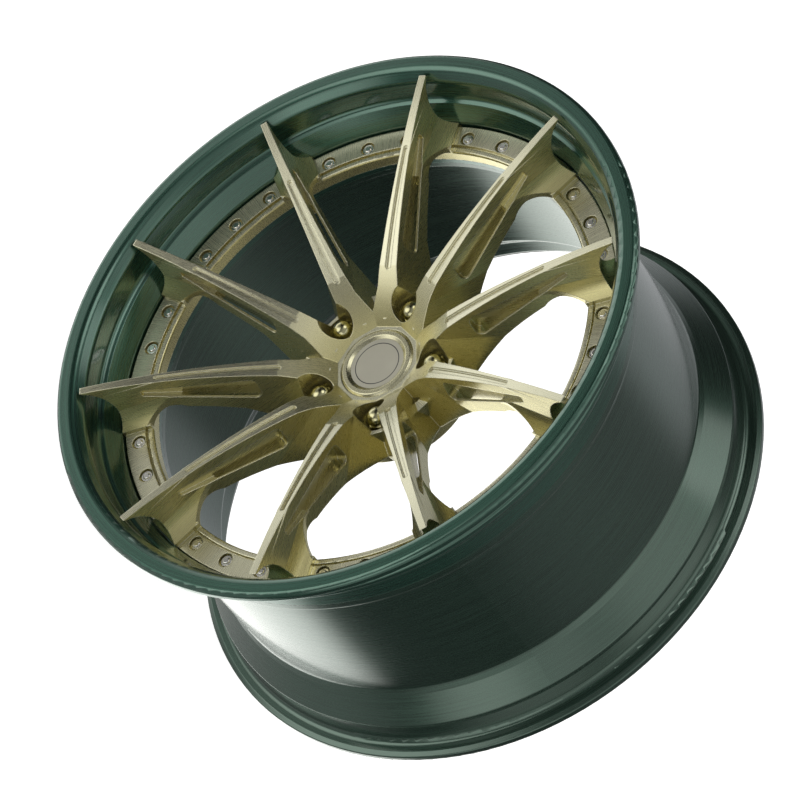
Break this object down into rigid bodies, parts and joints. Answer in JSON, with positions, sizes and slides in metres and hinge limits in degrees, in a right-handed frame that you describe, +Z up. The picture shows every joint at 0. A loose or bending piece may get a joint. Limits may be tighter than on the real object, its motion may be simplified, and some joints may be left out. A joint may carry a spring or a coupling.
{
  "type": "forged wheel rim",
  "caption": "Three-piece forged wheel rim: spoked centre bolted to an outer lip and an inner barrel, with hub bore, lug holes, push-fit centre cap and tyre valve.",
  "frame": {"origin": "wheel centre: on the wheel's axis, half way between the front faces of the two flanges", "axes": "+Y along the wheel's axis towards the inboard side (towards the car); the spoked face looks to -Y; +Z up, along the gap between two spokes"},
  "size_m": [0.543, 0.2868, 0.543],
  "materials": {
    "lip": "translucent dark green over machined aluminium, gloss",
    "barrel": "translucent dark green over spun aluminium, gloss",
    "centre": "brushed metal under a champagne gold tint",
    "cap": "satin champagne gold",
    "badge": "satin, plain",
    "seal_rubber": "matt",
    "valve_metal": "anodised",
    "valve_brass": "turned",
    "bolt_steel": "polished",
    "seat_steel": "turned",
    "lug_gold": "champagne gold, gloss"
  },
  "bodies": {
    "wheel": {"outer_lip": "lip", "inner_barrel": "barrel", "rim_seal": "seal_rubber", "wheel_centre": "centre", "valve_grommet": "seal_rubber", "valve_stem": "valve_metal", "valve_washer": "valve_metal", "valve_nut": "valve_metal", "valve_core": "valve_brass", "assembly_bolts": "bolt_steel", "assembly_washers": "bolt_steel", "assembly_nuts": "bolt_steel", "lug_seats": "seat_steel", "lug_nuts": "lug_gold"},
    "hub_cap": {"centre_cap": "cap", "cap_badge": "badge", "cap_o_ring": "seal_rubber"},
    "dust_cap": {"valve_cap": "valve_metal", "valve_cap_seal": "seal_rubber"},
    "check_pin": {"valve_pin": "valve_brass"}
  },
  "joints": [
    {"name": "centre_cap_pull", "type": "slide", "parent": "wheel", "child": "hub_cap", "axis": [0, -1, 0], "range_m": [0, 0.02]},
    {"name": "valve_cap_lift", "type": "slide", "parent": "wheel", "child": "dust_cap", "axis": [0, 0, -1], "range_m": [0, 0.014]},
    {"name": "valve_pin_press", "type": "slide", "parent": "wheel", "child": "check_pin", "axis": [0, 0, 1], "range_m": [0, 0.001], "stiffness_N_per_m": 800}
  ]
}
